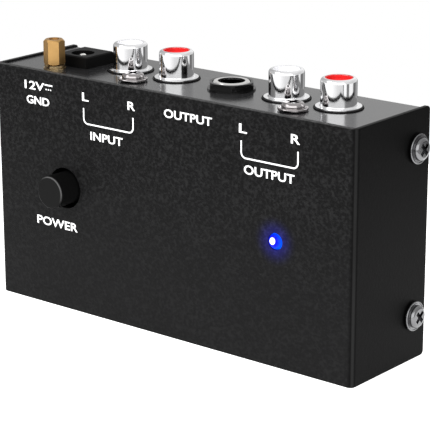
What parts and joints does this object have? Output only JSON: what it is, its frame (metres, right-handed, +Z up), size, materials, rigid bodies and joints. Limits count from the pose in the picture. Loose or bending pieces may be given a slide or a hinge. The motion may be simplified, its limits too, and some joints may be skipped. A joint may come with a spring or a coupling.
{
  "type": "phono preamplifier",
  "caption": "Small phono preamplifier in a folded steel case with phono jacks, a 6.35 mm jack, a power socket, a ground post, a push button and a lamp.",
  "frame": {"origin": "middle of the footprint, on the surface that the case stands on", "axes": "+X along the case to the right as the label wall is seen, +Y from the label wall to the back plate, +Z up through the jack panel"},
  "size_m": [0.114, 0.037, 0.0669],
  "materials": {
    "cover_powder_coat": "fine wrinkle powder coat, black",
    "chassis_paint": "satin dark grey coat",
    "dark_nickel": "dark nickel plate",
    "screw_chrome": "bright plate",
    "jack_chrome": "bright chrome plate",
    "nickel_sleeve": "bright nickel plate",
    "black_nut": "black oxide",
    "black_moulding": "moulded",
    "insulator_white": "moulded",
    "insulator_red": "moulded",
    "tinned_spring": "tin plate",
    "plated_steel": "zinc plate",
    "brass": "turned",
    "washer_brass": "yellow plate",
    "foot_rubber": "matt",
    "board_laminate": "green solder mask on glass laminate",
    "lead_insulation": "extruded",
    "switch_moulding": "moulded",
    "switch_stem_white": "moulded",
    "button_black": "moulded, satin face",
    "chip_black": "moulded",
    "capacitor_sleeve": "shrunk sleeve on an aluminium can",
    "film_box": "moulded box",
    "resistor_body": "lacquered",
    "lamp_blue": "clear tinted resin, lit"
  },
  "bodies": {
    "case": {"cover": "cover_powder_coat", "chassis": "chassis_paint", "side_screws": "dark_nickel", "feet": "foot_rubber", "circuit_board": "board_laminate", "board_standoffs": "plated_steel", "board_screws": "plated_steel", "input_left_shell": "jack_chrome", "input_left_insulator": "insulator_white", "input_left_contact": "tinned_spring", "input_right_shell": "jack_chrome", "input_right_insulator": "insulator_red", "input_right_contact": "tinned_spring", "input_jack_housing": "black_moulding", "output_left_shell": "jack_chrome", "output_left_insulator": "insulator_white", "output_left_contact": "tinned_spring", "output_right_shell": "jack_chrome", "output_right_insulator": "insulator_red", "output_right_contact": "tinned_spring", "output_jack_housing": "black_moulding", "jack_screws": "screw_chrome", "phone_jack_body": "black_moulding", "phone_jack_sleeve": "nickel_sleeve", "phone_jack_washer": "black_nut", "phone_jack_nut": "black_nut", "phone_jack_tip_spring": "tinned_spring", "phone_jack_ring_spring": "tinned_spring", "power_jack_body": "black_moulding", "power_jack_pin": "nickel_sleeve", "power_jack_spring": "tinned_spring", "ground_stud": "brass", "ground_lug": "tinned_spring", "ground_washer": "washer_brass", "ground_lead": "lead_insulation", "switch_body": "switch_moulding", "switch_spring": "plated_steel", "switch_pins": "tinned_spring", "power_lamp": "lamp_blue", "lamp_leads": "tinned_spring", "amplifier_chips": "chip_black", "signal_capacitors": "capacitor_sleeve", "supply_capacitor": "capacitor_sleeve", "film_capacitors": "film_box", "resistors": "resistor_body", "voltage_regulator": "chip_black"},
    "power_button": {"power_button": "button_black", "switch_stem": "switch_stem_white"},
    "post_washer": {"ground_lock_washer": "washer_brass"},
    "ground_nut": {"ground_nut": "brass"}
  },
  "joints": [
    {"name": "power_press", "type": "slide", "parent": "case", "child": "power_button", "axis": [0, 1, 0], "range_m": [0, 0.0028], "stiffness_N_per_m": 600, "springref_m": -0.001, "deforming": ["switch_spring"]},
    {"name": "washer_lift", "type": "slide", "parent": "case", "child": "post_washer", "axis": [0, 0, 1], "range_m": [0, 0.0015]},
    {"name": "nut_turn", "type": "hinge", "parent": "post_washer", "child": "ground_nut", "pos_m": [-0.04, -0.0074, 0.05955], "axis": [0, 0, 1], "range_deg": [0, 1080]}
  ],
  "couplings": [
    {"joint": "nut_turn", "follows": "washer_lift", "rad_per_m": 12566}
  ]
}
